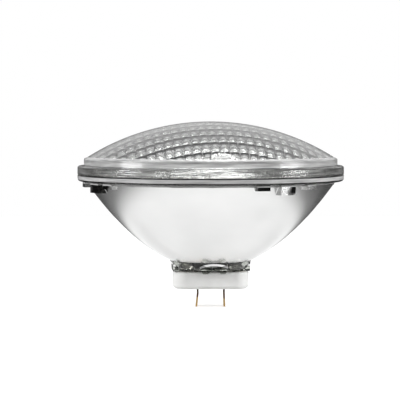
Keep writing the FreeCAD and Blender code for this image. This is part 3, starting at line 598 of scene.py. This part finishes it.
def make_lens(glass):
    """The lens: a grid of pillows, a skirt from its border down to the seam, the outside turned
    about the axis, and a flat ring that joins the two at the seam."""
    bm = bmesh.new()
    xs = grid_lines(PILLOW_WIDTH, PILLOW_PARTS, MIRROR_EDGE, 0)
    ys = grid_lines(PILLOW_LENGTH, ROW_PARTS, MIRROR_EDGE, ROW_GAP)
    verts = {}

    def vertex(i, j):
        """The grid's point, pulled in to the mirror's edge where it lies beyond."""
        if (i, j) not in verts:
            x, y = xs[i], ys[j]
            reach = math.hypot(x, y)
            if reach > MIRROR_EDGE:
                x, y = x * MIRROR_EDGE / reach, y * MIRROR_EDGE / reach
            verts[i, j] = bm.verts.new((x, y, pillow_height(x, y)))
        return verts[i, j]

    for i in range(len(xs) - 1):
        for j in range(len(ys) - 1):
            cell = [(i, j), (i, j + 1), (i + 1, j + 1), (i + 1, j)]
            if any(math.hypot(xs[a], ys[b]) < MIRROR_EDGE for a, b in cell):
                bm.faces.new([vertex(a, b) for a, b in cell])
    bmesh.ops.remove_doubles(bm, verts=bm.verts, dist=MERGE_GAP)
    border = [e for e in bm.edges if e.is_boundary]
    skirt = bmesh.ops.extrude_edge_only(bm, edges=border)["geom"]
    for v in skirt:
        if isinstance(v, bmesh.types.BMVert):
            v.co.z = SEAM
    well_edges = [e for e in skirt if isinstance(e, bmesh.types.BMEdge)]
    outer = lathe(bm, lens_outline(), TURN_STEPS)[0]
    rim_edges = [bm.edges.get(ends) for ends in zip(outer, outer[1:] + outer[:1])]
    bmesh.ops.triangle_fill(bm, use_beauty=True, edges=well_edges + rim_edges)
    piece("lens_glass", mesh_from(bm, "lens_glass"), glass, ("lens",), 25.0)


def mirror_point(radius):
    """Radius and height of a point on the mirror."""
    return radius, MIRROR_VERTEX + radius**2 / (4 * MIRROR_FOCAL)


def back_point(radius):
    """Radius and height of a point on the paraboloid of the bowl's back."""
    return radius, BOWL_VERTEX + radius**2 / (4 * BOWL_FOCAL)


def reflector_outline():
    """The closed section of the bowl: mirror, seam, rim, back and heel ring."""
    points = [mirror_point(MIRROR_EDGE * i / BOWL_RINGS) for i in range(BOWL_RINGS + 1)]
    points += [(RIM_RADIUS - SEAM_BEVEL, SEAM - SEAM_GAP), (RIM_RADIUS, SEAM - SEAM_BEVEL)]
    points += arc((RIM_RADIUS - RIM_FOOT_ROUND, RIM_FOOT + RIM_FOOT_ROUND), RIM_FOOT_ROUND,
                  0, -90, 8)
    points.append((NECK_RADIUS + NECK_OUT, RIM_FOOT - NECK_DROP))
    for i in range(BOWL_RINGS + 1):
        points.append(back_point(NECK_RADIUS + (HEEL_ROOT_RADIUS - NECK_RADIUS) * i / BOWL_RINGS))
    points += [(HEEL_TIP_RADIUS + HEEL_SOFT, HEEL_FOOT + HEEL_SOFT_HEIGHT),
               (HEEL_TIP_RADIUS - HEEL_SOFT, HEEL_FOOT), (HEEL_INNER + HEEL_SOFT, HEEL_FOOT),
               (HEEL_INNER, HEEL_FOOT + HEEL_SOFT)]
    points += [back_point(HEEL_INNER), back_point(HEEL_FLOOR_RADIUS), back_point(0.0)]
    return points


def prism(bm, bottom, top):
    """A solid between two like outlines, each a list of points."""
    low = [bm.verts.new(p) for p in bottom]
    high = [bm.verts.new(p) for p in top]
    bm.faces.new(list(reversed(low)))
    bm.faces.new(high)
    for i in range(len(low)):
        j = (i + 1) % len(low)
        bm.faces.new((low[i], low[j], high[j], high[i]))


def add_lug(bm, angle, big):
    """A block under the rim, from inside the bowl's glass out to the lugs' face."""
    low = BIG_LUG_BOTTOM if big else SMALL_LUG_BOTTOM
    half = math.radians(BIG_LUG_ANGLE if big else SMALL_LUG_ANGLE) / 2
    middle = math.radians(angle) - math.pi / 2
    outlines = []
    for height in (low, LUG_TOP):
        inner = math.sqrt(4 * BOWL_FOCAL * (height - BOWL_VERTEX)) - LUG_ROOT
        points = []
        for radius, sides in ((inner, (-1, 1)), (LUG_RADIUS, (1, 0.5, 0, -0.5, -1))):
            for side in sides:
                turn = middle + side * half
                points.append((radius * math.cos(turn), radius * math.sin(turn), height))
        outlines.append(points)
    prism(bm, *outlines)


def foot_outline():
    """Side view of a foot, across and up: a round disc cut flat, with an arched notch."""
    half = math.sqrt(FOOT_RADIUS**2 - (FOOT_CENTRE - FOOT_BOTTOM)**2)
    notch_radius = (NOTCH_WIDTH**2 / 4 + NOTCH_RISE**2) / (2 * NOTCH_RISE)
    notch_centre = (0, FOOT_BOTTOM + NOTCH_RISE - notch_radius)
    notch_end = math.degrees(math.acos(NOTCH_WIDTH / 2 / notch_radius))
    side_end = math.degrees(math.atan2(FOOT_BOTTOM - FOOT_CENTRE, half))
    top_end = math.degrees(math.asin((FOOT_TOP - FOOT_CENTRE) / FOOT_RADIUS))
    points = arc(notch_centre, notch_radius, 180 - notch_end, notch_end, 10)
    points += arc((0, FOOT_CENTRE), FOOT_RADIUS, side_end, top_end, 10)
    points += arc((0, FOOT_CENTRE), FOOT_RADIUS, 180 - top_end, 180 - side_end, 10)
    return points


def add_foot(bm, turn):
    """A foot on the heel, turned so far about the axis."""
    outline = foot_outline()
    spin = Matrix.Rotation(turn, 3, "Z")
    sides = []
    for reach in (FOOT_BACK, FOOT_FACE):
        sides.append([spin @ Vector((reach, across, height)) for across, height in outline])
    prism(bm, *sides)


def round_edges(bm, width):
    """Rounds every sharp edge of the solids."""
    edges = [e for e in bm.edges if e.calc_face_angle(0) > SHARP_ANGLE]
    bmesh.ops.bevel(bm, geom=edges, offset=width, segments=3, profile=0.5, affect="EDGES")
    bmesh.ops.recalc_face_normals(bm, faces=bm.faces)


def mesh_from(bm, name):
    """The mesh, turned with the glass."""
    bmesh.ops.recalc_face_normals(bm, faces=bm.faces)
    bmesh.ops.rotate(bm, verts=bm.verts, matrix=Matrix.Rotation(GLASS_TURN, 3, "Z"))
    mesh = bpy.data.meshes.new(name)
    bm.to_mesh(mesh)
    bm.free()
    return mesh


def union(mesh, extra):
    """One mesh with the extra solids fused on."""
    first = bpy.data.objects.new("first", mesh)
    second = bpy.data.objects.new("second", extra)
    for thing in (first, second):
        bpy.context.scene.collection.objects.link(thing)
    fuse = first.modifiers.new("fuse", "BOOLEAN")
    fuse.operation = "UNION"
    fuse.solver = "EXACT"
    fuse.object = second
    ready = first.evaluated_get(bpy.context.evaluated_depsgraph_get())
    fused = bpy.data.meshes.new_from_object(ready)
    for thing in (first, second):
        bpy.data.objects.remove(thing)
    return fused


def make_reflector(material):
    """The bowl with its lugs, which stand again on the far side, and its four feet."""
    bm = bmesh.new()
    lathe(bm, reflector_outline(), TURN_STEPS)
    bowl = mesh_from(bm, "bowl_glass")
    bm = bmesh.new()
    for angle, big in LUGS:
        add_lug(bm, angle, big)
        add_lug(bm, angle + 180, big)
    for quarter in range(4):
        add_foot(bm, quarter * math.pi / 2)
    round_edges(bm, SOLID_ROUND)
    mesh = union(bowl, mesh_from(bm, "lugs_and_feet"))
    piece("bowl_glass", mesh, material, ("reflector",), 30.0)


def finish_nodes(finishes):
    """Gives each CAD node that stays its material; a finish is (material, names of nodes)."""
    for material, names in finishes:
        for name in names:
            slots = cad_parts[name].data.materials
            slots.clear()
            slots.append(material)


def white_background():
    """White to the camera, and through glass where a look points back and about level; a soft grey
    studio in everything else."""
    world = bpy.data.worlds.new("studio")
    bpy.context.scene.world = world
    world.use_nodes = True
    nodes = world.node_tree.nodes
    links = world.node_tree.links
    nodes.clear()
    output = nodes.new("ShaderNodeOutputWorld")
    path = nodes.new("ShaderNodeLightPath")
    x, y, z = split(nodes, links, nodes.new("ShaderNodeTexCoord").outputs["Generated"])
    steepness = math_node(nodes, links, "ABSOLUTE", z)
    behind = math_node(nodes, links, "GREATER_THAN", y, BACKDROP_START)
    backdrop = math_node(nodes, links, "MULTIPLY", behind,
                         math_node(nodes, links, "LESS_THAN", steepness, LEVEL_BAND))
    through = math_node(nodes, links, "MULTIPLY", path.outputs["Is Transmission Ray"], backdrop)
    seen = math_node(nodes, links, "MAXIMUM", path.outputs["Is Camera Ray"], through)
    white = nodes.new("ShaderNodeBackground")
    white.inputs["Color"].default_value = (1, 1, 1, 1)
    studio = nodes.new("ShaderNodeBackground")
    height = math_node(nodes, links, "MULTIPLY_ADD", z, 0.5, 0.5)
    depth = math_node(nodes, links, "MULTIPLY_ADD", y, 0.5, 0.5)
    grey = math_node(nodes, links, "MAXIMUM", ramp(nodes, links, depth, LEVEL_GREYS),
                     ramp(nodes, links, height, HIGH_GREYS))
    side = ramp(nodes, links, math_node(nodes, links, "ABSOLUTE", x), SIDE_GREYS)
    links.new(math_node(nodes, links, "MULTIPLY", grey, side), studio.inputs["Color"])
    for background in (white, studio):
        background.inputs["Strength"].default_value = 1.0
    mixed = mix_shaders(nodes, links, seen, studio.outputs["Background"],
                        white.outputs["Background"])
    links.new(mixed, output.inputs["Surface"])


def floor_material():
    """White to the camera, and grey beyond the lamp in everything that mirrors or bends it."""
    material, nodes, links, surface, place = node_tree("white_sheet")
    shader = principled(nodes, Roughness=0.9)
    squeezed = nodes.new("ShaderNodeVectorMath")
    squeezed.operation = "MULTIPLY"
    squeezed.inputs[1].default_value = FLOOR_SQUEEZE
    links.new(place, squeezed.inputs[0])
    reach = nodes.new("ShaderNodeVectorMath")
    reach.operation = "DISTANCE"
    reach.inputs[1].default_value = FLOOR_MIDDLE
    links.new(squeezed.outputs["Vector"], reach.inputs[0])
    near = ramp(nodes, links, reach.outputs["Value"], FLOOR_GREYS)
    path = nodes.new("ShaderNodeLightPath")
    paint = nodes.new("ShaderNodeMix")
    paint.data_type = "RGBA"
    paint.inputs["B"].default_value = (0.85, 0.85, 0.85, 1)
    links.new(path.outputs["Is Camera Ray"], paint.inputs["Factor"])
    links.new(near, paint.inputs["A"])
    links.new(paint.outputs["Result"], shader.inputs["Base Color"])
    glassy = math_node(nodes, links, "MAXIMUM", path.outputs["Is Glossy Ray"],
                       path.outputs["Is Transmission Ray"])
    mirrored = math_node(nodes, links, "MULTIPLY", near, glassy)
    light = math_node(nodes, links, "ADD",
                      math_node(nodes, links, "MULTIPLY", path.outputs["Is Camera Ray"],
                                FLOOR_WHITE),
                      math_node(nodes, links, "MULTIPLY", mirrored, FLOOR_GLOW))
    glow = nodes.new("ShaderNodeEmission")
    links.new(light, glow.inputs["Strength"])
    both = nodes.new("ShaderNodeAddShader")
    links.new(shader.outputs["BSDF"], both.inputs[0])
    links.new(glow.outputs["Emission"], both.inputs[1])
    links.new(both.outputs["Shader"], surface)
    return material


def make_floor():
    """A plain sheet under the prongs."""
    mesh = bpy.data.meshes.new("floor")
    corners = [(FLOOR_HALF * x, FLOOR_HALF * y, 0) for x, y in ((-1, -1), (1, -1), (1, 1), (-1, 1))]
    mesh.from_pydata(corners, [], [(0, 1, 2, 3)])
    mesh.materials.append(floor_material())
    floor = bpy.data.objects.new("floor", mesh)
    floor.location = (0, 0, PRONG_TIPS - FLOOR_DROP)
    bpy.context.scene.collection.objects.link(floor)


def softbox(name, place, width, height, power):
    """A soft light that points at the lamp's middle."""
    data = bpy.data.lights.new(name, "AREA")
    data.shape = "RECTANGLE"
    data.size = width
    data.size_y = height
    data.energy = power
    made = bpy.data.objects.new(name, data)
    bpy.context.scene.collection.objects.link(made)
    made.location = place
    made.rotation_euler = (BOX_AIM - Vector(place)).to_track_quat("-Z", "Y").to_euler()


def make_camera():
    """The photograph's view: nearly level with the top of the dome, aimed a little down."""
    data = bpy.data.cameras.new("camera")
    data.sensor_width = data.sensor_height = 36.0
    data.angle = 2 * math.atan(PICTURE_HALF / CAMERA_DISTANCE)
    made = bpy.data.objects.new("camera", data)
    bpy.context.scene.collection.objects.link(made)
    made.location = (CAMERA_AIM.x, -CAMERA_DISTANCE, CAMERA_HEIGHT)
    made.rotation_euler = (CAMERA_AIM - made.location).to_track_quat("-Z", "Y").to_euler()
    bpy.context.scene.camera = made


make_camera()
white_background()
make_floor()
for name, side in (("left_box", -1), ("right_box", 1)):
    softbox(name, (side * SIDE_BOXES_OUT, -0.3, 0.28), 0.4, 0.3, 5.8)
softbox("top_box", (0, 0, 1.1), 0.5, 0.5, 4.3)
bpy.context.scene.view_settings.view_transform = "Standard"

lens_glass = lens_material()
clear_glass = clear_glass_material()
mirror_glass = reflector_material()
ceramic = ceramic_material()
brass = brass_material()
nickel = metal_material("nickel", (0.42, 0.4, 0.38), (0.66, 0.64, 0.6), 0.22)
tungsten = metal_material("tungsten", (0.1, 0.1, 0.11), (0.28, 0.28, 0.29), 0.35)
filament = filament_material()
cement = cement_material()

make_lens(lens_glass)
make_reflector(mirror_glass)
finish_nodes([
    (clear_glass, ["exhaust_tube", "bridge_bead"]),
    (filament, ["filament"]),
    (tungsten, ["left_hook", "centre_hook", "right_hook"]),
    (nickel, ["left_lead_post", "right_lead_post", "left_filament_clamp", "right_filament_clamp",
              "left_ferrule", "right_ferrule", "left_strap", "right_strap", "prong_rivets"]),
    (brass, ["left_prong", "right_prong"]),
    (cement, ["left_cement_bead", "right_cement_bead"]),
    (ceramic, ["ceramic_base"]),
])
